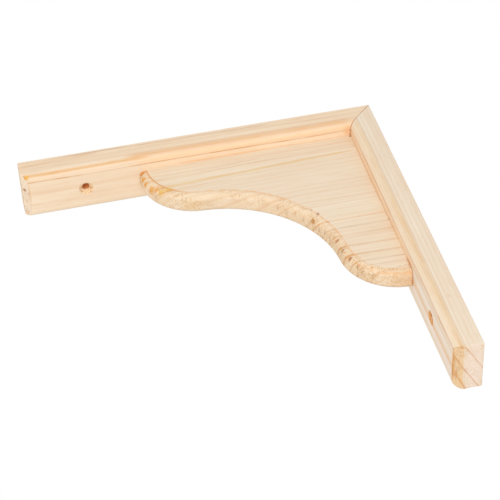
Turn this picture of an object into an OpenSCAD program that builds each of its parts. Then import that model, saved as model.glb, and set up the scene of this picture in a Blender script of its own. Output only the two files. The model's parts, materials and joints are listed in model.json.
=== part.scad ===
// Wooden corbel bracket: two pine battens mitred into a right angle, with an
// ogee gusset set between them. The wall arm hangs down against the wall and
// the shelf arm reaches out under the shelf.
//
// Frame: the wall face lies on Y = 0 and the shelf face on Z = 0. The shelf arm
// runs towards -Y, the wall arm towards -Z, and X is across the bracket, with
// X = 0 in the middle of its width. The origin is on the outer corner.

/* [Battens] */
// Length of the shelf arm, from the outer corner to its free end
shelf_arm_l = 198; // [180:1:400]
// Length of the wall arm, from the outer corner to its free end
wall_arm_l = 202; // [180:1:400]
// Width of both battens, across the bracket
batten_w = 28; // [20:0.5:60]
// Thickness of both battens, from the outer face to the inner face
batten_t = 14.5; // [10:0.5:25]
// Radius of the round-over along the two inner long edges of each batten
batten_edge_r = 4; // [1:0.5:9]
// Length of the chamfer at each free end, along the batten
end_chamfer_l = 3.5; // [1:0.5:15]
// Depth of the chamfer at each free end, into the inner face
end_chamfer_t = 4.5; // [1:0.5:8]

/* [Gusset] */
// Thickness of the gusset
gusset_t = 12; // [9:0.5:20]
// Reach of the gusset along each arm, from the outer corner
gusset_reach = 134; // [110:1:145]
// Radius of the lobe at each end of the free edge
lobe_r = 31; // [22:1:36]
// Radius of the hollow sweep between the two lobes
sweep_r = 64; // [50:1:90]
// Radius of the round-over along the free edge, on both faces
gusset_edge_r = 4; // [1:0.5:4.5]

/* [Screw holes] */
// Diameter of the screw hole through each batten
hole_d = 4; // [3:0.1:6]
// Diameter of the countersink at the inner face
sink_d = 8; // [6.5:0.5:16]
// Included angle of the countersink
sink_angle = 90; // [60:5:120]
// Distance of each screw hole from the outer corner
hole_from_corner = 163.5; // [155:0.5:170]

/* [Hidden] */

// How far a cutting shape runs past the faces it cuts
overcut = 1;
// Depth of the countersink
sink_depth = (sink_d - hole_d) / 2 / tan(sink_angle / 2);

// The gusset's outline, in the plane of the bracket: x along the shelf arm and
// y down the wall arm, from the outer corner. Each lobe is centred on the inner
// face of its arm, so its edge leaves the batten square.
lobe_centre = [gusset_reach - lobe_r, batten_t];
// The sweep is centred on the diagonal, where its circle touches both lobes:
// the distance between the centres is the sum of the two radii.
centre_sum = lobe_centre.x + lobe_centre.y;
centre_gap = lobe_centre.x - lobe_centre.y;
sweep_centre = (centre_sum + sqrt(2 * (lobe_r + sweep_r) ^ 2 - centre_gap ^ 2)) / 2;
// Angle through which the lobe turns before the sweep takes over
lobe_turn = atan2(sweep_centre - lobe_centre.y, sweep_centre - lobe_centre.x);

$fn = 96;

// Turns a shape drawn in the plane of the bracket (x along the shelf arm,
// y down the wall arm, z across) to its place.
module set_up() {
    rotate([-90, 0, 0]) rotate([0, 90, 0]) children();
}

// Swaps x and y, which turns the shelf arm's side of the bracket into the wall arm's.
module other_arm() {
    mirror([1, -1, 0]) children();
}

// Square corner outside a quarter round, with the round's edges on the axes:
// the waste that a round-over cutter takes off.
module round_over_waste(r) {
    difference() {
        square([r + overcut, r + overcut]);
        circle(r);
    }
}

// Cross-section of a batten: x from the outer face to the inner face, y across.
module batten_section() {
    difference() {
        translate([0, -batten_w / 2]) square([batten_t, batten_w]);
        for (side = [0, 1]) {
            mirror([0, side])
                translate([batten_t - batten_edge_r, batten_w / 2 - batten_edge_r])
                    round_over_waste(batten_edge_r);
        }
    }
}

// Waste of the 45 degree mitre at the outer corner.
module mitre_waste() {
    far = batten_t + 2 * overcut;
    translate([0, 0, -batten_w / 2 - overcut])
        linear_extrude(batten_w + 2 * overcut)
            polygon([[-2 * overcut, -2 * overcut], [far, far], [-2 * overcut, far]]);
}

// Waste of the chamfer where the inner face meets the end grain.
module end_chamfer_waste(length) {
    slope = end_chamfer_t / end_chamfer_l;
    translate([length, batten_t, -batten_w / 2 - overcut])
        linear_extrude(batten_w + 2 * overcut)
            polygon([
                [-end_chamfer_l - overcut, overcut * slope],
                [overcut, -end_chamfer_t - overcut * slope],
                [overcut, overcut * slope]
            ]);
}

// Screw hole across a batten, countersunk from the inner face.
module screw_hole() {
    rotate([-90, 0, 0]) {
        translate([0, 0, -overcut]) cylinder(h = batten_t + 2 * overcut, d = hole_d);
        translate([0, 0, batten_t - sink_depth])
            cylinder(
                h = sink_depth + overcut,
                d1 = hole_d,
                d2 = sink_d + 2 * overcut * tan(sink_angle / 2)
            );
    }
}

// One batten, lying along x with its outer face on y = 0.
module batten(length) {
    difference() {
        translate([-overcut, 0, 0])
            rotate([90, 0, 90])
                linear_extrude(length + overcut) batten_section();
        mitre_waste();
        end_chamfer_waste(length);
        translate([hole_from_corner, 0, 0]) screw_hole();
    }
}

// Profile of a lobe, from its axis to its rim, rounded over on both faces.
module lobe_profile() {
    difference() {
        translate([0, -gusset_t / 2]) square([lobe_r, gusset_t]);
        for (side = [0, 1]) {
            mirror([0, side])
                translate([lobe_r - gusset_edge_r, gusset_t / 2 - gusset_edge_r])
                    round_over_waste(gusset_edge_r);
        }
    }
}

// Profile of the sweep's waste, from its axis outwards: it flares towards both
// faces by the radius of the round-over.
module sweep_waste_profile() {
    flared_r = sweep_r + gusset_edge_r;
    flat_t = gusset_t - 2 * gusset_edge_r;
    difference() {
        translate([0, -gusset_t / 2 - overcut]) square([flared_r, gusset_t + 2 * overcut]);
        translate([sweep_r, -flat_t / 2]) square([2 * gusset_edge_r, flat_t]);
        for (side = [-1, 1]) {
            translate([flared_r, side * flat_t / 2]) circle(gusset_edge_r);
        }
    }
}

// Free edge on the shelf arm's side, drawn about the point where the lobe runs
// into the sweep: both centres are on the x axis, the lobe's at -lobe_r and the
// sweep's at sweep_r. Wood fills everything behind the edge.
module half_edge() {
    translate([-lobe_r, 0, 0])
        rotate([0, 0, 180]) rotate_extrude(angle = 180) lobe_profile();
    difference() {
        translate([sweep_r - gusset_reach, 0, -gusset_t / 2])
            cube([gusset_reach, gusset_reach, gusset_t]);
        translate([sweep_r, 0, 0]) rotate_extrude() sweep_waste_profile();
    }
}

// Half of the gusset: the room between the shelf arm's inner face and the
// diagonal, as far as the free edge.
module half_gusset() {
    intersection() {
        translate(lobe_centre)
            rotate([0, 0, lobe_turn])
                translate([lobe_r, 0, 0]) half_edge();
        linear_extrude(2 * gusset_t, center = true)
            polygon([
                [batten_t, batten_t],
                [2 * gusset_reach, batten_t],
                [2 * gusset_reach, 2 * gusset_reach]
            ]);
    }
}

module shelf_arm() {
    color("burlywood") set_up() batten(shelf_arm_l);
}

module wall_arm() {
    color("wheat") set_up() other_arm() batten(wall_arm_l);
}

module gusset() {
    color("navajowhite")
        set_up() {
            half_gusset();
            other_arm() half_gusset();
        }
}

shelf_arm();
wall_arm();
gusset();
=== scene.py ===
"""Bare pine corbel bracket: two mitred battens and an ogee gusset, lit by soft even light."""

import json
import math

import bmesh
import bpy
from mathutils import Matrix, Vector


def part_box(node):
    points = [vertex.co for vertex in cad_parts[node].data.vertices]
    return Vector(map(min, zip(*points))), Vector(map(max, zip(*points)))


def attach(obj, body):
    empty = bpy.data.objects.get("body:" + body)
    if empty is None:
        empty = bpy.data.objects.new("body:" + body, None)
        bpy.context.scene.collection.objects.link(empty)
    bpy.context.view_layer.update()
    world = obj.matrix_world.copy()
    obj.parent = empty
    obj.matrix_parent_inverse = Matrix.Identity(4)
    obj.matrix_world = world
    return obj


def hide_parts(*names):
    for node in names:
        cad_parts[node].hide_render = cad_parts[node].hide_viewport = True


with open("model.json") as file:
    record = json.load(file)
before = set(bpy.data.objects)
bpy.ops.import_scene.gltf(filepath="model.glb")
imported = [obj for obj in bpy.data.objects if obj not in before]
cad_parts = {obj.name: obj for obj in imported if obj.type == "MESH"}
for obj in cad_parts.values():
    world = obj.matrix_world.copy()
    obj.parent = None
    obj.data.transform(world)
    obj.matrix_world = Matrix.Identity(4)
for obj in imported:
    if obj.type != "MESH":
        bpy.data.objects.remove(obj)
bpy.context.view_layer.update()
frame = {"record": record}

MM = 0.001

# ---------------------------------------------------------------- sizes, in metres

SHELF_LOW, SHELF_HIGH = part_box("shelf_arm")
WALL_LOW, WALL_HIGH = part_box("wall_arm")
GUSSET_LOW, GUSSET_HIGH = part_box("gusset")
MOUNTS = {mount["name"]: mount for mount in frame["record"]["mounts"]}

BATTEN_WIDTH = SHELF_HIGH.x - SHELF_LOW.x
BATTEN_THICK = SHELF_HIGH.z - SHELF_LOW.z
SHELF_LENGTH = SHELF_HIGH.y - SHELF_LOW.y
WALL_LENGTH = WALL_HIGH.z - WALL_LOW.z
GUSSET_THICK = GUSSET_HIGH.x - GUSSET_LOW.x
GUSSET_REACH = -GUSSET_LOW.y

BATTEN_ROUND = 4 * MM
END_CHAMFER_LENGTH = 3.5 * MM
END_CHAMFER_DEPTH = 4.5 * MM
LOBE_RADIUS = 31 * MM
SWEEP_RADIUS = 64 * MM
GUSSET_ROUND = 4 * MM
HOLE_RADIUS = MOUNTS["shelf_screw"]["dims"]["r_mm"] * MM
SINK_RADIUS = 4 * MM
SINK_DEPTH = SINK_RADIUS - HOLE_RADIUS
EASED_EDGE = 0.3 * MM
ARRIS_WIDTH = 0.55 * MM
TOE_GAP = 0.15 * MM
TOE_START = 122 * MM
LOW_LOBE_TOP = 117 * MM
LOW_LOBE_REACH = 42 * MM
# Where the lower lobe's arris lies, as shares of the way from the middle to the face
SHALLOW_ARRIS = (0.72, 0.86)
# Faces that meet at more than this angle keep the edge between them
SHARP = math.radians(32)


# ---------------------------------------------------------------- modelling helpers

def select_only(piece):
    """Selects one object and makes it the active one."""
    bpy.ops.object.select_all(action="DESELECT")
    piece.select_set(True)
    bpy.context.view_layer.objects.active = piece


def start_editing(piece, parts="EDGE"):
    """Opens a piece's mesh with nothing selected, ready to pick vertices, edges or faces."""
    select_only(piece)
    bpy.ops.object.mode_set(mode="EDIT")
    bpy.ops.mesh.select_mode(type=parts)
    bpy.ops.mesh.select_all(action="DESELECT")


def stop_editing():
    bpy.ops.object.mode_set(mode="OBJECT")


def pick(piece, parts, wanted):
    """Selects the vertices, edges or faces for which wanted(part) is true."""
    bpy.ops.mesh.select_all(action="DESELECT")
    mesh = bmesh.from_edit_mesh(piece.data)
    for part in getattr(mesh, parts):
        if wanted(part):
            part.select_set(True)
    mesh.select_flush_mode()
    bmesh.update_edit_mesh(piece.data)


def settle(piece):
    """Applies a piece's place, turn and scale, so that its object sits at the origin."""
    select_only(piece)
    bpy.ops.object.transform_apply(location=True, rotation=True, scale=True)


def apply_modifier(piece, kind, **settings):
    """Adds a modifier, sets it and applies it."""
    select_only(piece)
    modifier = piece.modifiers.new(kind.lower(), kind)
    for key, value in settings.items():
        setattr(modifier, key, value)
    bpy.ops.object.modifier_apply(modifier=modifier.name)


def near(a, b, reach=0.02 * MM):
    return abs(a - b) < reach


def cut_off(piece, point, outwards):
    """Saws a piece off at a plane and closes the cut: what lies outwards of the point goes."""
    start_editing(piece, "FACE")
    bpy.ops.mesh.select_all(action="SELECT")
    bpy.ops.mesh.bisect(
        plane_co=point, plane_no=Vector(outwards).normalized(), threshold=1e-6,
        use_fill=True, clear_outer=True,
    )
    stop_editing()


# ---------------------------------------------------------------- battens

def add_bit(place):
    """Shape of the countersinking bit, point upwards through the shelf arm at a place."""
    over = 2 * MM
    top = over
    foot = -(BATTEN_THICK - SINK_DEPTH)
    bpy.ops.mesh.primitive_cylinder_add(
        vertices=64, radius=HOLE_RADIUS, depth=top - foot,
        location=(place.x, place.y, (top + foot) / 2),
    )
    bit = bpy.context.object
    settle(bit)
    start_editing(bit, "FACE")
    pick(bit, "faces", lambda face: face.normal.z < -0.9)
    depth = SINK_DEPTH + over
    bpy.ops.mesh.extrude_region_move(TRANSFORM_OT_translate={"value": (0, 0, -depth)})
    spread = (SINK_RADIUS + over) / HOLE_RADIUS
    bpy.ops.transform.resize(
        value=(spread, spread, 1), center_override=(place.x, place.y, foot - depth)
    )
    stop_editing()
    return bit


def add_batten(name, length, hole):
    """A batten lying as the shelf arm does, from the outer corner along -Y."""
    middle = Vector((0, -length / 2, -BATTEN_THICK / 2))
    bpy.ops.mesh.primitive_cube_add(size=1, location=middle)
    batten = bpy.context.object
    batten.name = name
    batten.scale = (BATTEN_WIDTH, length, BATTEN_THICK)
    settle(batten)

    def inner_long_edge(edge):
        a, b = (vert.co for vert in edge.verts)
        return near(a.z, -BATTEN_THICK) and near(b.z, -BATTEN_THICK) and near(a.x, b.x)

    start_editing(batten)
    pick(batten, "edges", inner_long_edge)
    bpy.ops.mesh.bevel(offset=BATTEN_ROUND, segments=12, profile=0.5)
    stop_editing()

    cut_off(batten, (0, 0, 0), (0, 1, -1))
    cut_off(
        batten,
        (0, -length, -BATTEN_THICK + END_CHAMFER_DEPTH),
        (0, -END_CHAMFER_DEPTH, -END_CHAMFER_LENGTH),
    )

    bit = add_bit(hole)
    apply_modifier(batten, "BOOLEAN", object=bit, operation="DIFFERENCE", solver="EXACT")
    bpy.data.objects.remove(bit)
    apply_modifier(
        batten, "BEVEL", width=EASED_EDGE, segments=2, limit_method="ANGLE", angle_limit=SHARP
    )
    return batten


def stand_up(batten):
    """Swings a batten about the mitre, from the shelf arm's place to the wall arm's."""
    batten.matrix_world = Matrix.Rotation(math.pi, 4, Vector((0, 1, 1)))
    settle(batten)


# ---------------------------------------------------------------- gusset

def add_gusset():
    """The ogee plate, drawn as a line of arcs, filled, thickened and rounded over."""
    lobe = Vector((0, -(GUSSET_REACH - LOBE_RADIUS), -BATTEN_THICK))
    other_lobe = Vector((0, lobe.z, lobe.y))
    # the sweep's centre is on the diagonal, both radii away from each lobe's centre
    across = lobe.y - lobe.z
    reach = 2 * (LOBE_RADIUS + SWEEP_RADIUS) ** 2 - across ** 2
    middle = (lobe.y + lobe.z - math.sqrt(reach)) / 2
    sweep = Vector((0, middle, middle))
    to_sweep = sweep - lobe
    lobe_turn = math.atan2(-to_sweep.z, -to_sweep.y)
    sweep_turn = 2 * (lobe_turn - math.pi / 4)
    back = -GUSSET_THICK / 2

    bpy.ops.mesh.primitive_plane_add(size=MM, location=(back, -GUSSET_REACH, -BATTEN_THICK))
    gusset = bpy.context.object
    gusset.name = "gusset_board"
    settle(gusset)
    start_editing(gusset, "VERT")
    bpy.ops.mesh.select_all(action="SELECT")
    bpy.ops.mesh.merge(type="CENTER")
    arcs = (
        (lobe, lobe_turn, 48),
        (sweep, -sweep_turn, 72),
        (other_lobe, lobe_turn, 48),
    )
    for centre, turn, steps in arcs:
        bpy.ops.mesh.spin(
            steps=steps, angle=-turn, center=(back, centre.y, centre.z), axis=(1, 0, 0)
        )
    corner = Vector((back, -BATTEN_THICK, -BATTEN_THICK))
    last = Vector((back, -BATTEN_THICK, -GUSSET_REACH))
    bpy.ops.mesh.extrude_vertices_move(TRANSFORM_OT_translate={"value": corner - last})
    bpy.ops.mesh.select_all(action="SELECT")
    bpy.ops.mesh.edge_face_add()
    bpy.ops.mesh.extrude_region_move(TRANSFORM_OT_translate={"value": (GUSSET_THICK, 0, 0)})
    bpy.ops.mesh.select_all(action="SELECT")
    bpy.ops.mesh.normals_make_consistent(inside=False)

    def free_edge(edge):
        a, b = (vert.co for vert in edge.verts)
        at_shelf = near(a.z, -BATTEN_THICK) and near(b.z, -BATTEN_THICK)
        at_wall = near(a.y, -BATTEN_THICK) and near(b.y, -BATTEN_THICK)
        return near(a.x, b.x) and not at_shelf and not at_wall

    bpy.ops.mesh.select_mode(type="EDGE")
    pick(gusset, "edges", free_edge)
    bpy.ops.mesh.bevel(offset=GUSSET_ROUND, segments=10, profile=0.5)
    bpy.ops.mesh.select_mode(type="FACE")
    pick(gusset, "faces", lambda face: abs(face.normal.x) > 0.999 and face.calc_area() > 1e-3)
    bpy.ops.mesh.inset(thickness=ARRIS_WIDTH, use_individual=True)

    # the plate stands off the wall arm a little at its lower lobe
    bpy.ops.mesh.select_all(action="SELECT")
    bpy.ops.mesh.bisect(plane_co=(0, 0, -TOE_START), plane_no=(0, 0, 1), threshold=1e-6)

    def lower_toe(vert):
        return near(vert.co.y, -BATTEN_THICK) and vert.co.z < -TOE_START - MM

    bpy.ops.mesh.select_mode(type="VERT")
    pick(gusset, "verts", lower_toe)
    bpy.ops.transform.translate(value=(0, -TOE_GAP, 0))
    stop_editing()
    mark_edge(gusset, GUSSET_THICK / 2)
    return gusset


def mark_edge(gusset, half_thick):
    """Notes on the mesh where the cutter ran: the whole rounded edge, and its two arrises."""
    mesh = gusset.data
    routed = mesh.attributes.new("routed", "FLOAT", "POINT")
    arris = mesh.attributes.new("arris", "FLOAT", "POINT")

    def free(vert):
        return min(-vert.co.y, -vert.co.z) > BATTEN_THICK + 0.05 * MM

    def inner(vert):
        return abs(vert.co.x) < half_thick - 0.01 * MM

    def lower_lobe(vert):
        return -vert.co.z > LOW_LOBE_TOP and -vert.co.y < LOW_LOBE_REACH

    for vert in mesh.vertices:
        routed.data[vert.index].value = 1.0 if inner(vert) else 0.0
        # the cutter ran shallower round the lower lobe, so its arris lies further over
        over = abs(vert.co.x) / half_thick
        fuzzy = lower_lobe(vert) and SHALLOW_ARRIS[0] < over < SHALLOW_ARRIS[1]
        arris.data[vert.index].value = 0.5 if fuzzy else 0.0
    for edge in mesh.edges:
        a, b = (mesh.vertices[index] for index in edge.vertices)
        if inner(a) != inner(b):
            outer = b if inner(a) else a
            if (free(outer) or free(a) or free(b)) and not lower_lobe(outer):
                arris.data[outer.index].value = 1.0


# ---------------------------------------------------------------- shader helpers

def add_node(tree, kind, **settings):
    made = tree.nodes.new(kind)
    for key, value in settings.items():
        setattr(made, key, value)
    return made


def join(tree, source, target):
    """Feeds a target socket from another socket, or sets it to a plain value."""
    if isinstance(source, bpy.types.NodeSocket):
        tree.links.new(source, target)
    else:
        target.default_value = source


def maths(tree, operation, *values):
    made = add_node(tree, "ShaderNodeMath", operation=operation)
    for value, socket in zip(values, made.inputs):
        join(tree, value, socket)
    return made.outputs[0]


def vectors(tree, operation, *values):
    made = add_node(tree, "ShaderNodeVectorMath", operation=operation)
    for value, socket in zip(values, made.inputs):
        join(tree, value, socket)
    return made.outputs[1 if operation in ("LENGTH", "DOT_PRODUCT") else 0]


def scaled(tree, vector, factor):
    made = add_node(tree, "ShaderNodeVectorMath", operation="SCALE")
    join(tree, vector, made.inputs[0])
    join(tree, factor, made.inputs["Scale"])
    return made.outputs[0]


def fade(tree, value, start, end, low=0.0, high=1.0):
    """Goes smoothly from low to high as a value goes from start to end."""
    made = add_node(tree, "ShaderNodeMapRange", interpolation_type="SMOOTHSTEP")
    for source, socket in zip((value, start, end, low, high), made.inputs):
        join(tree, source, socket)
    return made.outputs[0]


def blend_colour(tree, mask, below, above, mode="MIX"):
    made = add_node(tree, "ShaderNodeMix", data_type="RGBA", blend_type=mode)
    join(tree, mask, made.inputs["Factor"])
    for source, socket in ((below, made.inputs[6]), (above, made.inputs[7])):
        join(tree, source, socket)
    return made.outputs[2]


def noise(tree, place, size, seed=0.0, detail=2.0, output="Factor"):
    """Noise of a given fineness along each axis, per millimetre."""
    stretched = vectors(tree, "MULTIPLY", place, size)
    moved = add_node(tree, "ShaderNodeVectorMath", operation="MULTIPLY_ADD")
    join(tree, seed, moved.inputs[0])
    moved.inputs[1].default_value = (17.3, 31.7, 5.9)
    join(tree, stretched, moved.inputs[2])
    made = add_node(tree, "ShaderNodeTexNoise", noise_dimensions="3D")
    join(tree, moved.outputs[0], made.inputs["Vector"])
    made.inputs["Scale"].default_value = 1.0
    made.inputs["Detail"].default_value = detail
    return made.outputs[0 if output == "Factor" else 1]


def new_group(name, inputs, outputs):
    """A shader node group with its sockets: (name, kind, value) going in, (name, kind) out."""
    group = bpy.data.node_groups.new(name, "ShaderNodeTree")
    for label, kind, value in inputs:
        socket = group.interface.new_socket(label, in_out="INPUT", socket_type=kind)
        if value is not None:
            socket.default_value = value
    for label, kind in outputs:
        group.interface.new_socket(label, in_out="OUTPUT", socket_type=kind)
    start = group.nodes.new("NodeGroupInput").outputs
    end = group.nodes.new("NodeGroupOutput").inputs
    return group, start, end


def add_group(tree, group, **values):
    made = add_node(tree, "ShaderNodeGroup", node_tree=group)
    for label, value in values.items():
        join(tree, value, made.inputs[label.replace("_", " ")])
    return made.outputs


def paint(red, green, blue):
    """A finish colour, given as it looks (0 to 255), as a shader wants it."""
    def straight(part):
        part /= 255
        return part / 12.92 if part <= 0.04045 else ((part + 0.055) / 1.055) ** 2.4
    return (straight(red), straight(green), straight(blue), 1.0)


FLOAT, VECTOR = "NodeSocketFloat", "NodeSocketVector"
# How much the growth rings' widths vary
UNEVEN_YEARS = 1.5
# Between which depths of the gusset, in mm, its pores close up
LOW_LOBE_PORES = (121.0, 127.0)


# ---------------------------------------------------------------- wood groups
# Places on a board are in millimetres: x across its width from the middle, y its depth from
# the outer face, z along the grain from the mitred corner.

def depth_of(tree, place):
    """How deep a place is below the outer face."""
    parts = add_node(tree, "ShaderNodeSeparateXYZ")
    join(tree, place, parts.inputs[0])
    return parts.outputs[1]


def along_of(tree, place):
    """How far along the grain a place is."""
    parts = add_node(tree, "ShaderNodeSeparateXYZ")
    join(tree, place, parts.inputs[0])
    return parts.outputs[2]


def build_grain_drift():
    """How far the grain wanders sideways along a board."""
    group, given, made = new_group(
        "grain_drift",
        [("Place", VECTOR, None), ("Wander", FLOAT, 1.0), ("Seed", FLOAT, 0.0)],
        [("Place", VECTOR)],
    )
    slow = noise(group, given["Place"], (0.03, 0.03, 0.022), given["Seed"], 1.0, "Color")
    slow = vectors(group, "SUBTRACT", slow, (0.5, 0.5, 0.5))
    quick = noise(group, given["Place"], (0.12, 0.12, 0.11), given["Seed"], 2.0, "Color")
    quick = vectors(group, "SUBTRACT", quick, (0.5, 0.5, 0.5))
    both = add_node(group, "ShaderNodeVectorMath", operation="MULTIPLY_ADD")
    join(group, quick, both.inputs[0])
    both.inputs[1].default_value = (0.22, 0.22, 0.0)
    join(group, vectors(group, "MULTIPLY", slow, (1.6, 1.6, 0.0)), both.inputs[2])
    shifted = scaled(group, both.outputs[0], given["Wander"])
    join(group, vectors(group, "ADD", given["Place"], shifted), made["Place"])
    return group


def build_growth_rings():
    """Faint regular growth rings, leaning across the board, with a dark latewood side."""
    group, given, made = new_group(
        "growth_rings",
        [
            ("Place", VECTOR, None),
            ("Lean", FLOAT, 0.5),
            ("Ring Width", FLOAT, 3.0),
            ("Seed", FLOAT, 0.0),
        ],
        [("Latewood", FLOAT)],
    )
    parts = add_node(group, "ShaderNodeSeparateXYZ")
    join(group, given["Place"], parts.inputs[0])
    lean = maths(group, "MULTIPLY", parts.outputs[0], given["Lean"])
    depth = maths(group, "SUBTRACT", parts.outputs[1], lean)
    years = maths(group, "DIVIDE", depth, given["Ring Width"])
    season = add_node(group, "ShaderNodeTexNoise", noise_dimensions="1D")
    join(group, maths(group, "MULTIPLY_ADD", years, 0.35, given["Seed"]), season.inputs["W"])
    season.inputs["Scale"].default_value = 1.0
    season.inputs["Detail"].default_value = 1.0
    years = maths(group, "MULTIPLY_ADD", season.outputs[0], UNEVEN_YEARS, years)
    part = maths(group, "FRACT", years)
    year = maths(group, "FLOOR", years)
    rise = maths(group, "POWER", fade(group, part, 0.2, 0.93), 2.2)
    fall = fade(group, part, 0.93, 1.0, 1.0, 0.0)
    chance = add_node(group, "ShaderNodeTexWhiteNoise", noise_dimensions="1D")
    join(group, maths(group, "ADD", year, given["Seed"]), chance.inputs["W"])
    strength = maths(group, "MULTIPLY_ADD", chance.outputs["Value"], 0.8, 0.2)
    latewood = maths(group, "MULTIPLY", maths(group, "MULTIPLY", rise, fall), strength)
    join(group, latewood, made["Latewood"])
    return group


def build_streak():
    """One line along the grain, a rod of it or a whole leaning ring: mostly darker wood, but also
    painted shade along the gusset's joints and painted bounce light.
    """
    group, given, made = new_group(
        "streak",
        [
            ("Place", VECTOR, None),
            ("Centre", VECTOR, None),
            ("Lean", FLOAT, 0.0),
            ("Slope", FLOAT, 0.0),
            ("Half Width", FLOAT, 1.0),
            ("Reach", FLOAT, 1.0),
            ("Start", FLOAT, 0.0),
            ("End", FLOAT, 200.0),
            ("Patchiness", FLOAT, 0.5),
        ],
        [("Mask", FLOAT)],
    )
    away = vectors(group, "SUBTRACT", given["Place"], given["Centre"])
    parts = add_node(group, "ShaderNodeSeparateXYZ")
    join(group, away, parts.inputs[0])
    lean = maths(group, "MULTIPLY", parts.outputs[0], given["Lean"])
    slope = maths(group, "MULTIPLY", parts.outputs[2], given["Slope"])
    across = maths(group, "SUBTRACT", maths(group, "SUBTRACT", parts.outputs[1], lean), slope)
    across = maths(group, "DIVIDE", across, given["Half Width"])
    sideways = maths(group, "DIVIDE", parts.outputs[0], given["Reach"])
    distance = maths(group, "SQRT", maths(group, "ADD", maths(group, "MULTIPLY", across, across),
                                          maths(group, "MULTIPLY", sideways, sideways)))
    body = fade(group, distance, 1.0, 0.0)
    along = along_of(group, given["Place"])
    begin = fade(group, maths(group, "SUBTRACT", along, given["Start"]), -5.0, 5.0)
    finish = fade(group, maths(group, "SUBTRACT", along, given["End"]), 5.0, -5.0)
    seed = vectors(group, "DOT_PRODUCT", given["Centre"], (3.1, 1.7, 0.0))
    broken = noise(group, given["Place"], (0.25, 0.25, 0.07), seed, 2.0)
    broken = fade(group, broken, 0.38, 0.62)
    whole_mask = maths(group, "MULTIPLY", maths(group, "MULTIPLY", begin, finish), body)
    left = maths(group, "MULTIPLY", maths(group, "SUBTRACT", 1.0, broken), given["Patchiness"])
    join(group, maths(group, "MULTIPLY", whole_mask, maths(group, "SUBTRACT", 1.0, left)),
         made["Mask"])
    return group


def build_fibres():
    """Broad and fine fibres along the grain, and the short dashes of resin canals."""
    group, given, made = new_group(
        "fibres",
        [("Place", VECTOR, None), ("Seed", FLOAT, 0.0)],
        [("Clouds", FLOAT), ("Streaks", FLOAT), ("Hairs", FLOAT), ("Canals", FLOAT)],
    )
    place, seed = given["Place"], given["Seed"]
    join(group, noise(group, place, (0.09, 0.09, 0.016), seed, 2.0), made["Clouds"])
    join(group, noise(group, place, (0.6, 0.6, 0.02), seed, 2.0), made["Streaks"])
    join(group, noise(group, place, (2.6, 2.6, 0.11), seed, 3.0), made["Hairs"])
    cells = add_node(group, "ShaderNodeTexVoronoi", voronoi_dimensions="3D")
    join(group, vectors(group, "MULTIPLY", place, (0.75, 0.75, 0.09)), cells.inputs["Vector"])
    cells.inputs["Scale"].default_value = 1.0
    join(group, fade(group, cells.outputs["Distance"], 0.24, 0.1), made["Canals"])
    return group


def build_end_grain():
    """Where the saw or the cutter crosses the grain: cut ends, and the pores they show."""
    group, given, made = new_group(
        "end_grain",
        [
            ("Place", VECTOR, None),
            ("Across", FLOAT, 0.0),
            ("Routed", FLOAT, 0.0),
            ("Seed", FLOAT, 0.0),
        ],
        [("Cut", FLOAT), ("Pores", FLOAT), ("Fluff", FLOAT)],
    )
    cut = fade(group, maths(group, "ABSOLUTE", given["Across"]), 0.1, 0.8)
    cut = maths(group, "MAXIMUM", cut, maths(group, "MULTIPLY", given["Routed"], 0.6))
    join(group, cut, made["Cut"])
    coarse = noise(group, given["Place"], (1.3, 1.3, 1.1), given["Seed"], 1.5)
    fine = noise(group, given["Place"], (1.2, 1.2, 1.1), given["Seed"], 2.0)
    patches = noise(group, given["Place"], (0.09, 0.09, 0.07), given["Seed"], 1.0)
    patches = fade(group, patches, 0.44, 0.57, 0.3, 1.0)
    # pores show all over the end of the lower lobe, and in patches elsewhere
    low_lobe = fade(group, depth_of(group, given["Place"]), *LOW_LOBE_PORES)
    patches = maths(group, "MAXIMUM", patches, low_lobe)
    pores = maths(group, "MULTIPLY", fade(group, fine, 0.5, 0.6), patches)
    join(group, maths(group, "MULTIPLY", pores, cut), made["Pores"])
    fluff = maths(group, "MULTIPLY", fade(group, coarse, 0.52, 0.66), cut)
    join(group, fluff, made["Fluff"])
    return group


def build_mark():
    """One soft-edged spot of a given size along each axis: a pin knot, glue, painted shade in a
    gap or a corner.
    """
    group, given, made = new_group(
        "mark",
        [("Place", VECTOR, None), ("Centre", VECTOR, None), ("Size", VECTOR, None)],
        [("Mask", FLOAT)],
    )
    away = vectors(group, "SUBTRACT", given["Place"], given["Centre"])
    away = vectors(group, "DIVIDE", away, given["Size"])
    join(group, fade(group, vectors(group, "LENGTH", away), 1.0, 0.35), made["Mask"])
    return group


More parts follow.
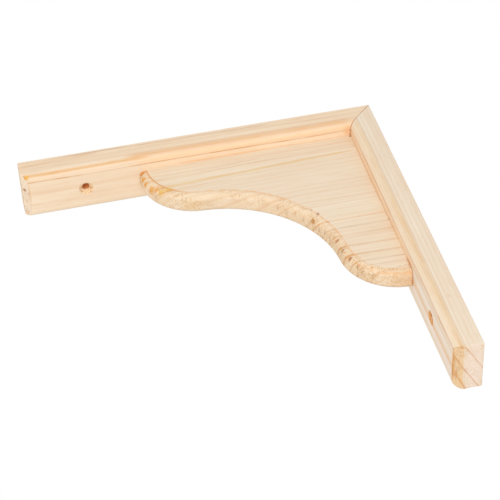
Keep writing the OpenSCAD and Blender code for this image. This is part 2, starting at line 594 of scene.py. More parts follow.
def build_screw_sink():
    """Torn fibres in a countersink, and the dark bore behind it."""
    group, given, made = new_group(
        "screw_sink",
        [("Place", VECTOR, None), ("Centre", VECTOR, None)],
        [("Sink", FLOAT), ("Bore", FLOAT), ("Torn", FLOAT)],
    )
    away = vectors(group, "SUBTRACT", given["Place"], given["Centre"])
    parts = add_node(group, "ShaderNodeSeparateXYZ")
    join(group, away, parts.inputs[0])
    height = parts.outputs[1]
    sink, bore = SINK_RADIUS / MM, HOLE_RADIUS / MM
    sink_depth, thick = SINK_DEPTH / MM, BATTEN_THICK / MM
    ragged = noise(group, given["Place"], (1.1, 1.1, 1.1), (3, 3, 3), 2.0)
    flat = vectors(group, "LENGTH", vectors(group, "MULTIPLY", away, (1.0, 0.0, 1.0)))
    # neither colour reaches the board's own faces
    below = fade(group, height, -0.05, -0.35)
    below = maths(group, "MULTIPLY", below,
                  fade(group, height, -sink_depth - 3.0, -sink_depth - 2.0))
    torn_edge = maths(group, "MULTIPLY_ADD", ragged, 1.6, flat)
    in_sink = fade(group, torn_edge, sink + 1.2, sink + 0.6)
    join(group, maths(group, "MULTIPLY", in_sink, below), made["Sink"])
    deep = fade(group, height, -sink_depth - 0.2, -sink_depth - 1.6)
    deep = maths(group, "MULTIPLY", deep, fade(group, height, 0.1 - thick, 0.5 - thick))
    in_bore = fade(group, flat, bore + 0.4, bore + 0.2)
    join(group, maths(group, "MULTIPLY", in_bore, deep), made["Bore"])
    join(group, fade(group, ragged, 0.45, 0.65), made["Torn"])
    return group


GRAIN_DRIFT = build_grain_drift()
GROWTH_RINGS = build_growth_rings()
STREAK = build_streak()
FIBRES = build_fibres()
END_GRAIN = build_end_grain()
MARK = build_mark()
SCREW_SINK = build_screw_sink()


# ---------------------------------------------------------------- pine

PALE_LATEWOOD = paint(232, 196, 158)
# tan latewood, also used as painted shade on the gusset's lower lobe
TAN_LATEWOOD_AND_SHADE = paint(222, 178, 132)
# orange latewood, also used as painted shade along the gusset's joint and in the inner corner
ORANGE_LATEWOOD_AND_SHADE = paint(236, 178, 118)
BAND = paint(228, 176, 114)
# painted bounce light: the warm glow the gusset throws onto the battens' round-overs beside it
PAINTED_BOUNCE_LIGHT = paint(255, 208, 154)
RESIN = paint(232, 192, 124)
GREY_BROWN = paint(196, 160, 130)
DARK_RING = paint(170, 112, 66)
CUT_WOOD = paint(240, 202, 142)
PORE = paint(212, 160, 92)
FLUFF = paint(254, 234, 196)
# cut latewood, also used as painted shade along the gusset's joints
CUT_LATEWOOD_AND_SHADE = paint(214, 150, 84)
BURNT_ARRIS = paint(222, 144, 48)
PALE_ARRIS = paint(238, 176, 116)
GOLD = paint(238, 178, 82)
TORN_WOOD = paint(206, 140, 70)
BORE = paint(232, 152, 86)
SINK_WOOD = paint(250, 218, 174)
PINK_WOOD = paint(247, 231, 220)
DEEP_SINK = paint(226, 160, 86)
DEEP_TORN = paint(172, 104, 46)
# painted shadow and painted shade for the crevice where the gusset's toe meets the wall arm
TOE_SHADOW = paint(214, 142, 66)
TOE_PAINTED_SHADE = paint(180, 106, 40)
MITRE_LINE = paint(206, 128, 66)
JOINT = paint(134, 78, 36)
PIN_KNOT = paint(164, 96, 44)
OLIVE_GOLD = paint(234, 192, 96)
PALE_CUT = paint(250, 234, 214)
ORANGE_CUT = paint(232, 192, 138)
CHAMFER_LIP = paint(224, 164, 92)

# How strongly each of these shows, from 0 to 1
EDGE_RING_TINT = 0.16
CUT_TINT = 0.30
PORE_TINT = 0.75
FLUFF_TINT = 0.4
CANAL_TINT = 0.22
SINK_TINT = 0.8
# How far, in mm, the edge of a mark is shaken out of round
MARK_SHAKE = 0.9
# Between which places along the gusset, in mm, its front arris turns burnt
BURNT_RANGE = (113.0, 121.0)


def round_section(run):
    """Where a distance round a batten's section lies, from its outer long edge, in mm."""
    half_width, thick = BATTEN_WIDTH / 2 / MM, BATTEN_THICK / MM
    rounding = BATTEN_ROUND / MM
    flat = thick - rounding
    turned = rounding * math.pi / 2
    if run < flat:
        return half_width, run
    if run < flat + turned:
        turn = (run - flat) / rounding
        return half_width + rounding * (math.cos(turn) - 1), flat + rounding * math.sin(turn)
    return half_width - rounding - (run - flat - turned), thick


def rod(run, half_width, start, end, strength, colour, slope=0.0, patchiness=0.5, at=None):
    """A streak that shows only at one place round a batten's section."""
    across, depth = round_section(run)
    return (across, depth, (start + end) / 2 if at is None else at, 0.0, slope, half_width,
            half_width, start, end, patchiness, strength, colour)


def ring(depth, half_width, lean, start, end, strength, colour, slope=0.0, patchiness=0.3,
         across=6.0, at=20.0, reach=80.0):
    """A streak that runs through the whole board, leaning across it."""
    return (across, depth, at, lean, slope, half_width, reach, start, end, patchiness,
            strength, colour)


def read_board(tree, grain):
    """Places on the board in mm, places across it, and how squarely a face ends the grain."""
    spot = add_node(tree, "ShaderNodeTexCoord")
    parts = add_node(tree, "ShaderNodeSeparateXYZ")
    join(tree, scaled(tree, spot.outputs["Object"], 1 / MM), parts.inputs[0])
    facing = add_node(tree, "ShaderNodeSeparateXYZ")
    join(tree, spot.outputs["Normal"], facing.inputs[0])
    depth, along = (2, 1) if grain == "Y" else (1, 2)
    whole = add_node(tree, "ShaderNodeCombineXYZ")
    join(tree, parts.outputs[0], whole.inputs[0])
    join(tree, maths(tree, "MULTIPLY", parts.outputs[depth], -1.0), whole.inputs[1])
    join(tree, maths(tree, "MULTIPLY", parts.outputs[along], -1.0), whole.inputs[2])
    return whole.outputs[0], parts.outputs[0], facing.outputs[along]


def paint_streaks(tree, colour, place, streaks):
    """Lays a board's streaks over its colour, and gives the mask of them all as well."""
    line_mask = None
    for across, down, at, lean, slope, half, reach, start, end, patchy, strength, tint in streaks:
        mask = add_group(
            tree, STREAK, Place=place, Centre=(across, down, at), Lean=lean, Slope=slope,
            Half_Width=half, Reach=reach, Start=start, End=end, Patchiness=patchy,
        )["Mask"]
        mask = maths(tree, "MULTIPLY", mask, strength)
        colour = blend_colour(tree, mask, colour, tint)
        line_mask = mask if line_mask is None else maths(tree, "MAXIMUM", line_mask, mask)
    return colour, line_mask


def paint_chamfer(tree, colour, end_on, tint, strength):
    """Colours the sloping cut at a batten's free end, between the inner and the end face."""
    slant = fade(tree, maths(tree, "ABSOLUTE", end_on), 0.66, 0.74)
    square = fade(tree, maths(tree, "ABSOLUTE", end_on), 0.9, 0.84)
    mask = maths(tree, "MULTIPLY", maths(tree, "MULTIPLY", slant, square), strength)
    return blend_colour(tree, mask, colour, tint)


def paint_marks(tree, colour, board, marks):
    """Lays a board's spots over its colour, with slightly ragged edges."""
    shake = noise(tree, board, (0.8, 0.8, 0.8), (4, 4, 4), 2.0, output="Color")
    shake = vectors(tree, "SUBTRACT", shake, (0.5, 0.5, 0.5))
    shake = vectors(tree, "MULTIPLY", shake, (MARK_SHAKE, MARK_SHAKE, MARK_SHAKE))
    ragged = vectors(tree, "ADD", board, shake)
    for centre, size, strength, tint in marks:
        mask = add_group(tree, MARK, Place=ragged, Centre=centre, Size=size)["Mask"]
        colour = blend_colour(tree, maths(tree, "MULTIPLY", mask, strength), colour, tint)
    return colour


def paint_cut(tree, colour, cut, cut_line, strength):
    """Darkens the wood where the grain is cut across, with its pores and its torn fluff."""
    colour = blend_colour(tree, cut_line, colour, CUT_LATEWOOD_AND_SHADE)
    cut_colour = blend_colour(tree, 1.0, colour, CUT_WOOD, "MULTIPLY")
    colour = blend_colour(tree, maths(tree, "MULTIPLY", cut["Cut"], CUT_TINT * strength),
                          colour, cut_colour)
    colour = blend_colour(tree, maths(tree, "MULTIPLY", cut["Pores"], PORE_TINT * strength),
                          colour, PORE)
    return blend_colour(tree, maths(tree, "MULTIPLY", cut["Fluff"], FLUFF_TINT * strength),
                        colour, FLUFF)


def paint_arris(tree, colour, board, arris, fluff):
    """The line where the cutter left the face, painted as the shade of the cutter's small step:
    in a burnt colour at the shelf-side lobe, paler, speckled and broken elsewhere.
    """
    burnt = fade(tree, along_of(tree, board), *BURNT_RANGE)
    edge_colour = blend_colour(tree, burnt, PALE_ARRIS, BURNT_ARRIS)
    speckled = fade(tree, fluff, 0.0, 0.6, 1.0, 0.3)
    # painted shade of the step along the arris, speckled by the fluff
    arris_shade = maths(tree, "MULTIPLY", arris, speckled)
    gaps = noise(tree, board, (0.22, 0.22, 0.22), (6, 6, 6), 2.0)
    unbroken = maths(tree, "MAXIMUM", fade(tree, gaps, 0.4, 0.54, 0.35, 1.0), burnt)
    arris_shade = maths(tree, "MULTIPLY", arris_shade, unbroken)
    return blend_colour(tree, arris_shade, colour, edge_colour)


def paint_fibres(tree, colour, fibres):
    """Shades the wood by its fibres, warmer where darker, and adds the resin canals."""
    shade = maths(tree, "MULTIPLY", fade(tree, fibres["Streaks"], 0.3, 0.7, 0.965, 1.02),
                  fade(tree, fibres["Hairs"], 0.3, 0.7, 0.97, 1.015))
    warm = add_node(tree, "ShaderNodeCombineColor")
    join(tree, maths(tree, "POWER", shade, 0.5), warm.inputs[0])
    join(tree, shade, warm.inputs[1])
    join(tree, maths(tree, "POWER", shade, 1.8), warm.inputs[2])
    colour = blend_colour(tree, 1.0, colour, warm.outputs[0], "MULTIPLY")
    canal = maths(tree, "MULTIPLY", fibres["Canals"], CANAL_TINT)
    return blend_colour(tree, canal, colour, TAN_LATEWOOD_AND_SHADE)


def paint_mitre(tree, colour, board):
    """The thin line of the mitre: darkest by the outer corner and round the inner edge."""
    thick, rounding = BATTEN_THICK / MM, BATTEN_ROUND / MM
    off_mitre = maths(tree, "SUBTRACT", along_of(tree, board), depth_of(tree, board))
    line = fade(tree, maths(tree, "ABSOLUTE", off_mitre), 0.38, 0.12)
    depth = depth_of(tree, board)
    outer = fade(tree, depth, 3.5, 6.0, 0.9, 0.45)
    inner = fade(tree, depth, thick - rounding - 1.0, thick - rounding + 0.5, 0.0, 0.95)
    line = maths(tree, "MULTIPLY", line, maths(tree, "MAXIMUM", outer, inner))
    line = maths(tree, "MULTIPLY", line, fade(tree, depth, thick - 0.3, thick - 0.1, 1.0, 0.3))
    return blend_colour(tree, line, colour, MITRE_LINE)


def paint_hole(tree, colour, board, place, clean_wood, torn_wood):
    """The countersink's torn wood and the bore behind it."""
    sink = add_group(tree, SCREW_SINK, Place=board, Centre=place)
    torn = blend_colour(tree, sink["Torn"], clean_wood, torn_wood)
    colour = blend_colour(tree, maths(tree, "MULTIPLY", sink["Sink"], SINK_TINT), colour, torn)
    return blend_colour(tree, sink["Bore"], colour, BORE)


def set_surface(tree, shader, line_mask, cut, fibres):
    """Roughness and fine relief: smoother resinous lines, rougher cut grain."""
    rough = fade(tree, line_mask, 0.0, 0.8, 0.58, 0.48)
    rough = maths(tree, "MULTIPLY_ADD", cut["Cut"], 0.2, rough)
    join(tree, rough, shader.inputs["Roughness"])
    height = maths(tree, "MULTIPLY", fibres["Hairs"], 0.025)
    height = maths(tree, "MULTIPLY_ADD", fibres["Canals"], -0.02, height)
    height = maths(tree, "MULTIPLY_ADD", cut["Pores"], -0.12, height)
    height = maths(tree, "MULTIPLY_ADD", cut["Fluff"], 0.08, height)
    bump = add_node(tree, "ShaderNodeBump")
    bump.inputs["Strength"].default_value = 1.0
    bump.inputs["Distance"].default_value = MM
    join(tree, height, bump.inputs["Height"])
    join(tree, bump.outputs[0], shader.inputs["Normal"])
    shader.inputs["IOR"].default_value = 1.4


def pine(name, grain, seed, wander, earlywood, rosy, lean, ring_width, ring_strength, streaks,
         marks, hole=None, cut_strength=1.0, chamfer=None):
    """Bare planed pine, with the grain along Y or Z and the board's own streaks, some of which
    are painted shade and painted bounce light by the gusset. A board with a hole is a batten,
    which has a mitre as well."""
    material = bpy.data.materials.new(name)
    material.use_nodes = True
    tree = material.node_tree
    shader = tree.nodes["Principled BSDF"]

    board, across, end_on = read_board(tree, grain)
    place = add_group(tree, GRAIN_DRIFT, Place=board, Wander=wander, Seed=seed)["Place"]
    fibres = add_group(tree, FIBRES, Place=place, Seed=seed)
    rings = add_group(tree, GROWTH_RINGS, Place=place, Lean=lean, Ring_Width=ring_width,
                      Seed=seed)
    routed = add_node(tree, "ShaderNodeAttribute", attribute_name="routed").outputs["Fac"]
    arris = add_node(tree, "ShaderNodeAttribute", attribute_name="arris").outputs["Fac"]
    cut = add_group(tree, END_GRAIN, Place=board, Across=end_on, Routed=routed, Seed=seed)

    colour = blend_colour(tree, fade(tree, fibres["Clouds"], 0.35, 0.65), earlywood, rosy)
    faint = maths(tree, "MULTIPLY", rings["Latewood"], ring_strength)
    colour = blend_colour(tree, faint, colour, PALE_LATEWOOD)
    across_rings = maths(tree, "MULTIPLY", rings["Latewood"], routed)
    across_rings = maths(tree, "MULTIPLY", across_rings, EDGE_RING_TINT)
    colour = blend_colour(tree, across_rings, colour, CUT_LATEWOOD_AND_SHADE)
    colour, line_mask = paint_streaks(tree, colour, place, streaks)
    if chamfer is not None:
        colour = paint_chamfer(tree, colour, end_on, *chamfer)
    colour = paint_marks(tree, colour, board, marks)

    cut_line = fade(tree, maths(tree, "MULTIPLY", line_mask, cut["Cut"]), 0.02, 0.45, 0.0, 0.6)
    if hole is None:
        rounded = fade(tree, maths(tree, "ABSOLUTE", across), 0.5, 4.2, 0.35, 1.0)
        cut_line = maths(tree, "MULTIPLY", cut_line, rounded)
    colour = paint_cut(tree, colour, cut, cut_line, cut_strength)
    colour = paint_arris(tree, colour, board, arris, cut["Fluff"])
    colour = paint_fibres(tree, colour, fibres)
    if hole is not None:
        colour = paint_mitre(tree, colour, board)
        colour = paint_hole(tree, colour, board, *hole)
    join(tree, colour, shader.inputs["Base Color"])
    set_surface(tree, shader, line_mask, cut, fibres)
    return material


HOLE_RUN = -MOUNTS["shelf_screw"]["pos_m"][1] / MM
HOLE_PLACE = (0.0, BATTEN_THICK / MM, HOLE_RUN)
# Where the wall arm's end chamfer starts along the grain, in mm
LIP_PLACE = (WALL_LENGTH - END_CHAMFER_LENGTH) / MM

SHELF_STREAKS = (
    rod(1.7, 0.8, 60, 178, 0.50, GREY_BROWN, slope=-0.012, at=150),
    rod(1.2, 0.6, 138, 172, 0.55, GREY_BROWN),
    rod(3.6, 1.3, 20, 130, 0.30, TAN_LATEWOOD_AND_SHADE, slope=-0.028, at=80),
    rod(4.2, 1.6, 155, 205, 0.45, TAN_LATEWOOD_AND_SHADE, slope=0.05, at=185),
    rod(7.8, 0.9, 170, 205, 0.25, GREY_BROWN),
    rod(13.1, 1.5, 130, 205, 0.95, BAND, patchiness=0.2),
    rod(11.0, 3.6, 14, 138, 0.65, ORANGE_LATEWOOD_AND_SHADE, patchiness=0.15),
    rod(9.5, 1.2, 10, 100, 0.25, TAN_LATEWOOD_AND_SHADE),
    rod(16.9, 0.65, 14, 196, 0.90, CUT_LATEWOOD_AND_SHADE, patchiness=0.5),
    # painted bounce light from the gusset on the round-over, along the stretch where the gusset
    # stands
    rod(14.8, 2.2, 12, 134, 0.5, PAINTED_BOUNCE_LIGHT, patchiness=0.1),
    # painted shade along the joint where the gusset meets the shelf arm's inner face
    rod(20.6, 1.3, 14, 110, 0.5, ORANGE_LATEWOOD_AND_SHADE),
    rod(24.5, 1.8, 140, 198, 0.35, PALE_LATEWOOD),
    rod(30.0, 2.5, 130, 170, 0.45, PALE_LATEWOOD),
    rod(32.0, 1.6, 150, 198, 0.35, PALE_LATEWOOD),
)
WALL_STREAKS = (
    ring(-7.4, 0.5, 0.65, -10, 210, 0.30, TAN_LATEWOOD_AND_SHADE, across=0.0),
    ring(1.4, 0.7, 0.58, -10, 210, 0.45, TAN_LATEWOOD_AND_SHADE, across=0.0),
    ring(5.9, 0.4, 0.58, -10, 210, 0.15, TAN_LATEWOOD_AND_SHADE, across=0.0, patchiness=0.55),
    ring(10.2, 0.8, 0.58, -10, 210, 0.50, TAN_LATEWOOD_AND_SHADE, across=0.0),
    ring(15.2, 1.1, 0.45, -10, 210, 0.60, ORANGE_LATEWOOD_AND_SHADE, across=0.0),
    rod(2.6, 0.9, 5, 210, 0.25, TAN_LATEWOOD_AND_SHADE),
    rod(11.3, 1.7, 12, 205, 0.55, RESIN, patchiness=0.35),
    rod(11.0, 1.1, 100, 215, 0.40, TAN_LATEWOOD_AND_SHADE, patchiness=0.5),
    rod(12.4, 0.7, 45, 205, 0.45, TAN_LATEWOOD_AND_SHADE, patchiness=0.7),
    rod(14.0, 1.8, 14, 205, 0.25, RESIN, patchiness=0.5),
    rod(15.9, 1.0, 14, 205, 0.75, CUT_LATEWOOD_AND_SHADE, patchiness=0.4),
    rod(16.9, 0.4, 110, 199, 0.80, CUT_LATEWOOD_AND_SHADE, patchiness=0.3),
    rod(17.0, 0.4, 14, 110, 0.45, CUT_LATEWOOD_AND_SHADE, patchiness=0.5),
    # painted bounce light from the gusset on the round-over, along the stretch where the gusset
    # stands
    rod(18.5, 1.5, 14, 135, 0.85, PAINTED_BOUNCE_LIGHT, patchiness=0.1),
    # painted shade along the joint where the gusset meets the wall arm's inner face
    rod(20.4, 0.5, 16, 132, 0.80, CUT_LATEWOOD_AND_SHADE, patchiness=0.4),
    rod(22.5, 2.5, 132, 215, 0.6, PINK_WOOD, patchiness=0.2),
    rod(32.0, 4.0, 132, 215, 0.6, PINK_WOOD, patchiness=0.2),
    rod(27.5, 2.4, 132, 200, 0.35, PALE_LATEWOOD),
    rod(36.0, 1.2, 132, 200, 0.3, PALE_LATEWOOD),
)
GUSSET_STREAKS = (
    ring(16.7, 1.0, 0.7, 122, 140, 0.35, ORANGE_LATEWOOD_AND_SHADE, reach=7.0),
    ring(21.5, 1.0, 0.7, 122, 140, 0.35, ORANGE_LATEWOOD_AND_SHADE, reach=7.0),
    ring(25.2, 1.0, 0.7, 122, 140, 0.35, ORANGE_LATEWOOD_AND_SHADE, reach=7.0),
    ring(31.0, 1.6, 0.7, 120, 140, 0.35, ORANGE_LATEWOOD_AND_SHADE, reach=9.0),
    ring(36.4, 1.3, 0.7, 118, 140, 0.35, RESIN, reach=9.0),
    ring(18.6, 0.8, 0.9, 10, 140, 0.30, TAN_LATEWOOD_AND_SHADE, slope=0.035),
    ring(20.2, 0.6, 0.9, 70, 100, 0.55, TAN_LATEWOOD_AND_SHADE, slope=0.035, reach=2.0),
    ring(23.0, 0.8, 0.9, 10, 140, 0.40, TAN_LATEWOOD_AND_SHADE, slope=0.03),
    ring(28.2, 1.5, 0.9, 20, 128, 0.75, RESIN, slope=0.042, patchiness=0.2),
    ring(33.0, 0.7, 0.8, 90, 140, 0.6, TAN_LATEWOOD_AND_SHADE, slope=0.03, reach=9.0),
    ring(37.0, 0.8, 0.8, 10, 100, 0.20, PALE_LATEWOOD, slope=0.02, patchiness=0.8),
    ring(45.5, 0.9, 0.8, 10, 100, 0.22, PALE_LATEWOOD, slope=0.015, patchiness=0.8),
    ring(54.5, 0.9, 0.7, 10, 90, 0.25, PALE_LATEWOOD, slope=0.01, patchiness=0.8),
    ring(61.5, 0.9, 0.7, 10, 80, 0.30, PALE_LATEWOOD, slope=0.01, patchiness=0.8),
    ring(70.5, 0.8, 0.7, 10, 70, 0.30, TAN_LATEWOOD_AND_SHADE, patchiness=0.8),
    ring(80.5, 0.8, 0.6, 10, 60, 0.30, PALE_LATEWOOD, patchiness=0.5),
    ring(84.0, 1.0, 0.6, 10, 60, 0.50, ORANGE_LATEWOOD_AND_SHADE, patchiness=0.5),
    ring(91.0, 1.1, 0.55, 10, 60, 0.35, GREY_BROWN, patchiness=0.5),
    ring(97.0, 1.2, 0.5, 10, 55, 0.45, TAN_LATEWOOD_AND_SHADE, patchiness=0.4),
    ring(98.9, 0.7, 0.5, 10, 55, 0.50, TAN_LATEWOOD_AND_SHADE, patchiness=0.4),
    ring(106.2, 1.3, 0.45, 10, 55, 0.60, TAN_LATEWOOD_AND_SHADE, slope=-0.02, patchiness=0.3),
    ring(113.8, 1.5, 0.4, 10, 55, 0.70, TAN_LATEWOOD_AND_SHADE, slope=-0.03, patchiness=0.3),
    ring(119.5, 0.7, 0.35, 10, 50, 0.50, GREY_BROWN, slope=-0.03, patchiness=0.4),
    ring(123.7, 0.7, 0.3, 10, 50, 0.45, GREY_BROWN, slope=-0.03, patchiness=0.4),
    ring(129.0, 1.2, 0.3, 10, 50, 0.30, TAN_LATEWOOD_AND_SHADE, patchiness=0.6),
)


def on_edge(along, over):
    """A place on the gusset's rounded edge, in mm: how far along it from the shelf arm, and
    how far over it from the front arris."""
    lobe, sweep, rounding = LOBE_RADIUS / MM, SWEEP_RADIUS / MM, GUSSET_ROUND / MM
    flat_half = GUSSET_THICK / 2 / MM - rounding
    rolled = rounding * math.pi / 2
    near_end, far_end = GUSSET_REACH / MM - lobe, BATTEN_THICK / MM
    span = 2 * (lobe + sweep) ** 2 - (near_end - far_end) ** 2
    middle = (near_end + far_end + math.sqrt(span)) / 2
    turn = math.atan2(middle - far_end, middle - near_end)
    inset = -rounding * (1 - math.sin(min(over, rolled) / rounding))
    if over < rolled:
        across = flat_half + rounding * math.cos(over / rounding)
    else:
        across = flat_half - (over - rolled)
    lobe_end = lobe * turn
    sweep_end = lobe_end + sweep * (2 * turn - math.pi / 2)
    if along < lobe_end:
        angle, centre, reach = along / lobe, (near_end, far_end), lobe + inset
    elif along < sweep_end:
        angle, centre, reach = turn - (along - lobe_end) / sweep, (middle, middle), inset - sweep
    else:
        angle = (along - sweep_end) / lobe + math.pi / 2 - turn
        centre, reach = (far_end, near_end), lobe + inset
    along_grain = centre[0] + reach * math.cos(angle)
    depth = centre[1] + reach * math.sin(angle)
    return across, depth, along_grain


SHELF_MARKS = (
    ((13.0, 13.3, 195.5), (2.4, 1.6, 2.8), 0.9, GOLD),
    ((4.0, 12.5, 196.8), (1.4, 2.6, 1.4), 0.90, DARK_RING),
    ((-3.5, 12.5, 196.5), (2.0, 2.2, 1.3), 0.4, TAN_LATEWOOD_AND_SHADE),
    ((-11.5, 12.5, 197.0), (2.4, 2.4, 1.6), 0.6, TAN_LATEWOOD_AND_SHADE),
    ((2.0, 14.5, 194.3), (9.5, 0.9, 0.6), 0.6, TAN_LATEWOOD_AND_SHADE),
    # painted shade in the inner corner by the mitre and the gusset
    ((9.0, 14.0, 15.5), (4.5, 4.5, 4.0), 0.5, ORANGE_LATEWOOD_AND_SHADE),
    ((9.8, 14.4, 14.6), (0.9, 0.8, 0.6), 0.6, PIN_KNOT),
    ((7.0, 14.6, 15.0), (0.6, 0.6, 0.6), 0.6, PIN_KNOT),
)
WALL_MARKS = (
    ((1.0, 14.5, LIP_PLACE), (16.0, 1.1, 1.1), 0.90, CHAMFER_LIP),
    ((-3.0, 14.4, LIP_PLACE), (6.0, 0.6, 0.6), 0.5, DARK_RING),
    ((4.0, 12.2, LIP_PLACE + 2.3), (5.0, 0.6, 0.6), 0.35, DARK_RING),
    ((-6.0, 13.0, LIP_PLACE + 1.5), (5.0, 0.6, 0.6), 0.45, DARK_RING),
    ((0.0, 4.5, 202.0), (24.0, 6.5, 2.5), 0.85, PINK_WOOD),
    ((13.6, 10.5, 201.5), (2.0, 1.4, 1.6), 0.5, TAN_LATEWOOD_AND_SHADE),
    # painted shade in the inner corner by the mitre and the gusset
    ((9.0, 14.0, 15.5), (4.0, 4.0, 4.0), 0.4, ORANGE_LATEWOOD_AND_SHADE),
    ((9.4, 14.4, 15.0), (0.8, 0.7, 0.8), 0.7, JOINT),
    ((6.4, 14.6, 91.0), (0.9, 0.9, 0.7), 0.95, JOINT),
    ((0.0, 14.5, 131.5), (6.6, 1.0, 1.4), 0.75, TOE_SHADOW),
    ((5.0, 14.5, 126.0), (2.4, 1.0, 6.0), 0.60, TOE_SHADOW),
    ((14.0, 6.0, 164.5), (0.6, 0.35, 2.2), 0.55, TAN_LATEWOOD_AND_SHADE),
)
GUSSET_MARKS = (
    (on_edge(10.0, 8.5), (6.5, 10.0, 8.0), 0.85, PALE_CUT),
    (on_edge(1.8, 3.0), (2.3, 2.0, 3.4), 0.95, BURNT_ARRIS),
    (on_edge(6.0, 4.4), (3.0, 1.8, 2.8), 0.95, GOLD),
    (on_edge(9.6, 5.2), (3.0, 1.7, 2.6), 0.95, GOLD),
    (on_edge(15.4, 5.4), (3.8, 2.2, 3.2), 0.95, GOLD),
    (on_edge(19.0, 3.4), (2.8, 1.4, 2.4), 0.85, GOLD),
    (on_edge(22.5, 3.6), (2.8, 2.0, 3.2), 0.85, OLIVE_GOLD),
    (on_edge(26.0, 0.6), (1.5, 1.3, 4.0), 0.85, OLIVE_GOLD),
    (on_edge(13.5, 8.0), (2.6, 0.9, 0.9), 0.45, GREY_BROWN),
    (on_edge(19.0, 8.5), (2.6, 0.9, 0.9), 0.40, GREY_BROWN),
    (on_edge(111.4, 4.8), (2.4, 2.4, 2.4), 0.65, BURNT_ARRIS),
    (on_edge(111.2, 4.8), (1.7, 1.6, 1.6), 1.00, PIN_KNOT),
    (on_edge(111.0, -0.2), (0.8, 1.5, 1.2), 0.75, PIN_KNOT),
    (on_edge(106.3, -0.1), (0.8, 1.0, 0.8), 0.50, PIN_KNOT),
    (on_edge(119.0, 0.0), (0.8, 1.4, 1.0), 0.45, PIN_KNOT),
    (on_edge(132.9, 3.4), (2.6, 0.9, 1.9), 0.80, PIN_KNOT),
    (on_edge(141.0, 3.4), (2.6, 0.8, 1.9), 0.75, PIN_KNOT),
    (on_edge(148.7, 3.8), (2.4, 1.1, 2.2), 0.90, PIN_KNOT),
    (on_edge(155.2, 4.5), (2.8, 0.8, 1.6), 0.60, PIN_KNOT),
    (on_edge(163.0, 2.2), (1.0, 1.0, 1.4), 0.45, BURNT_ARRIS),
    (on_edge(88.0, 6.5), (2.8, 0.7, 1.5), 0.45, GREY_BROWN),
    (on_edge(93.5, 7.5), (2.4, 0.7, 1.5), 0.45, GREY_BROWN),
    (on_edge(99.0, 6.5), (2.8, 0.8, 1.6), 0.50, TAN_LATEWOOD_AND_SHADE),
    (on_edge(104.5, 7.5), (2.8, 0.7, 1.5), 0.50, GREY_BROWN),
    (on_edge(116.5, 7.0), (2.8, 0.7, 1.6), 0.50, GREY_BROWN),
    (on_edge(121.5, 6.0), (2.8, 0.7, 1.6), 0.55, GREY_BROWN),
    (on_edge(126.5, 7.0), (3.0, 0.8, 1.7), 0.55, GREY_BROWN),
    (on_edge(158.5, 7.0), (3.4, 0.9, 1.5), 0.40, GREY_BROWN),
    (on_edge(164.5, 7.0), (3.4, 0.9, 1.4), 0.40, GREY_BROWN),
    # painted shade darkening the lower lobe's edge by the toe
    (on_edge(181.0, 7.5), (7.5, 9.0, 11.0), 0.35, TAN_LATEWOOD_AND_SHADE),
    (on_edge(41.0, 8.0), (5.0, 5.0, 8.0), 0.30, RESIN),
    ((6.0, 15.2, 14.8), (0.8, 0.9, 0.9), 0.9, JOINT),
    # painted shade along the gusset's front arris where it meets the wall arm
    ((6.0, 75.0, 14.5), (1.0, 70.0, 0.6), 0.5, CUT_LATEWOOD_AND_SHADE),
    # painted shadow and darker painted shade in the crevice at the lower lobe's toe, by the wall
    # arm
    ((0.0, 128.0, 14.5), (9.0, 10.0, 2.4), 0.9, TOE_SHADOW),
    ((0.0, 128.0, 14.3), (10.0, 11.0, 1.2), 1.0, TOE_PAINTED_SHADE),
    ((6.0, 128.2, 20.0), (0.5, 0.4, 1.4), 0.5, GREY_BROWN),
    ((6.0, 128.0, 17.0), (0.5, 0.4, 0.7), 0.5, GREY_BROWN),
)

PINES = {
    "shelf_arm": pine("shelf_batten_pine", "Y", 3.1, 0.8, paint(245, 223, 195),
                      paint(242, 217, 187), 0.35, 3.4, 0.5, SHELF_STREAKS, SHELF_MARKS,
                      (HOLE_PLACE, SINK_WOOD, TORN_WOOD), 0.5, (PALE_CUT, 0.9)),
    "wall_arm": pine("wall_batten_pine", "Z", 8.4, 0.8, paint(240, 224, 202),
                     paint(238, 219, 196), 0.5, 2.9, 0.45, WALL_STREAKS, WALL_MARKS,
                     (HOLE_PLACE, DEEP_SINK, DEEP_TORN), 0.5, (ORANGE_CUT, 0.6)),
    "gusset": pine("gusset_board_pine", "Y", 5.7, 1.2, paint(242, 225, 200),
                   paint(240, 220, 194), 0.6, 3.7, 0.4, GUSSET_STREAKS, GUSSET_MARKS),
}


# ---------------------------------------------------------------- pieces

shelf_hole = Vector(MOUNTS["shelf_screw"]["pos_m"])
wall_hole = Vector(MOUNTS["wall_screw"]["pos_m"])

shelf_arm = add_batten("shelf_batten", SHELF_LENGTH, shelf_hole)
wall_arm = add_batten("wall_batten", WALL_LENGTH, Vector((0, wall_hole.z, 0)))
stand_up(wall_arm)
gusset = add_gusset()

for piece, node, slot in (
    (shelf_arm, "shelf_arm", "shelf_arm_pine"),
    (wall_arm, "wall_arm", "wall_arm_pine"),
    (gusset, "gusset", "gusset_pine"),
):
    select_only(piece)
    bpy.ops.object.shade_smooth_by_angle(angle=SHARP)
    apply_modifier(piece, "WEIGHTED_NORMAL", weight=100, keep_sharp=True)
    piece.data.materials.clear()
    piece.data.materials.append(PINES[node])
    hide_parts(node)
    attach(piece, "root")


# ---------------------------------------------------------------- floor, light and camera

FLOOR_SIZE = 12.0
FLOOR_DROP = 1.2
FLOOR_GREY = (0.9, 0.9, 0.9)
FLOOR_ROUGHNESS = 0.8
KEY_PLACE = (0.7, -0.5, -1.05)
KEY_TARGET = (0, -0.1, -0.1)
KEY_WIDTH = 0.8
KEY_POWER = 8.6
ROOM_GLOW = 0.77
SENSOR_WIDTH = 36
LENS = 130.5
CAMERA_PLACE = (0.60832, -0.23016, -0.79530)
CAMERA_TURN = (140.264, 13.000, 92.090)


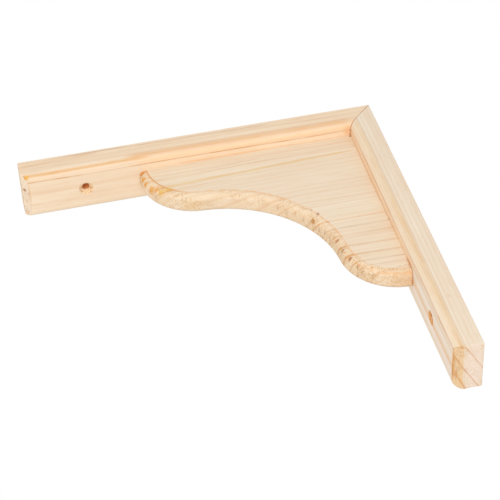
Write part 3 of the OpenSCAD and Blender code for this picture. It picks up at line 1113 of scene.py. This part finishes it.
def set_plain_colour(material, colour, roughness):
    shader = material.node_tree.nodes["Principled BSDF"]
    shader.inputs["Base Color"].default_value = (*colour, 1)
    shader.inputs["Roughness"].default_value = roughness


def add_floor():
    """A pale floor, well below the bracket, as if it were fixed to a wall."""
    bpy.ops.mesh.primitive_plane_add(size=FLOOR_SIZE, location=(0, 0, -FLOOR_DROP))
    floor = bpy.context.object
    floor.name = "floor"
    material = bpy.data.materials.new("floor_paint")
    material.use_nodes = True
    set_plain_colour(material, FLOOR_GREY, FLOOR_ROUGHNESS)
    floor.data.materials.append(material)


def add_lamp(name, place, target, size, power):
    lamp = bpy.data.lights.new(name, "AREA")
    lamp.shape = "DISK"
    lamp.size = size
    lamp.energy = power
    holder = bpy.data.objects.new(name, lamp)
    bpy.context.scene.collection.objects.link(holder)
    holder.location = place
    holder.rotation_euler = (Vector(target) - Vector(place)).to_track_quat("-Z", "Y").to_euler()


def set_world(glow):
    """Even light from all round, which the camera sees as plain white."""
    world = bpy.data.worlds.new("soft_room")
    world.use_nodes = True
    bpy.context.scene.world = world
    tree = world.node_tree
    background = tree.nodes["Background"]
    path = add_node(tree, "ShaderNodeLightPath")
    seen = maths(tree, "MAXIMUM", path.outputs["Is Camera Ray"], path.outputs["Is Glossy Ray"])
    seen = maths(tree, "MAXIMUM", seen, path.outputs["Is Transmission Ray"])
    background.inputs["Color"].default_value = (1, 1, 1, 1)
    join(tree, fade(tree, seen, 0, 1, glow, 1.0), background.inputs["Strength"])


def add_camera():
    camera = bpy.data.cameras.new("camera")
    camera.sensor_width = SENSOR_WIDTH
    camera.lens = LENS
    holder = bpy.data.objects.new("camera", camera)
    bpy.context.scene.collection.objects.link(holder)
    holder.location = CAMERA_PLACE
    holder.rotation_euler = [math.radians(angle) for angle in CAMERA_TURN]
    bpy.context.scene.camera = holder


add_floor()
add_lamp("key_softbox", KEY_PLACE, KEY_TARGET, KEY_WIDTH, KEY_POWER)
set_world(ROOM_GLOW)
add_camera()
bpy.context.scene.view_settings.view_transform = "Standard"
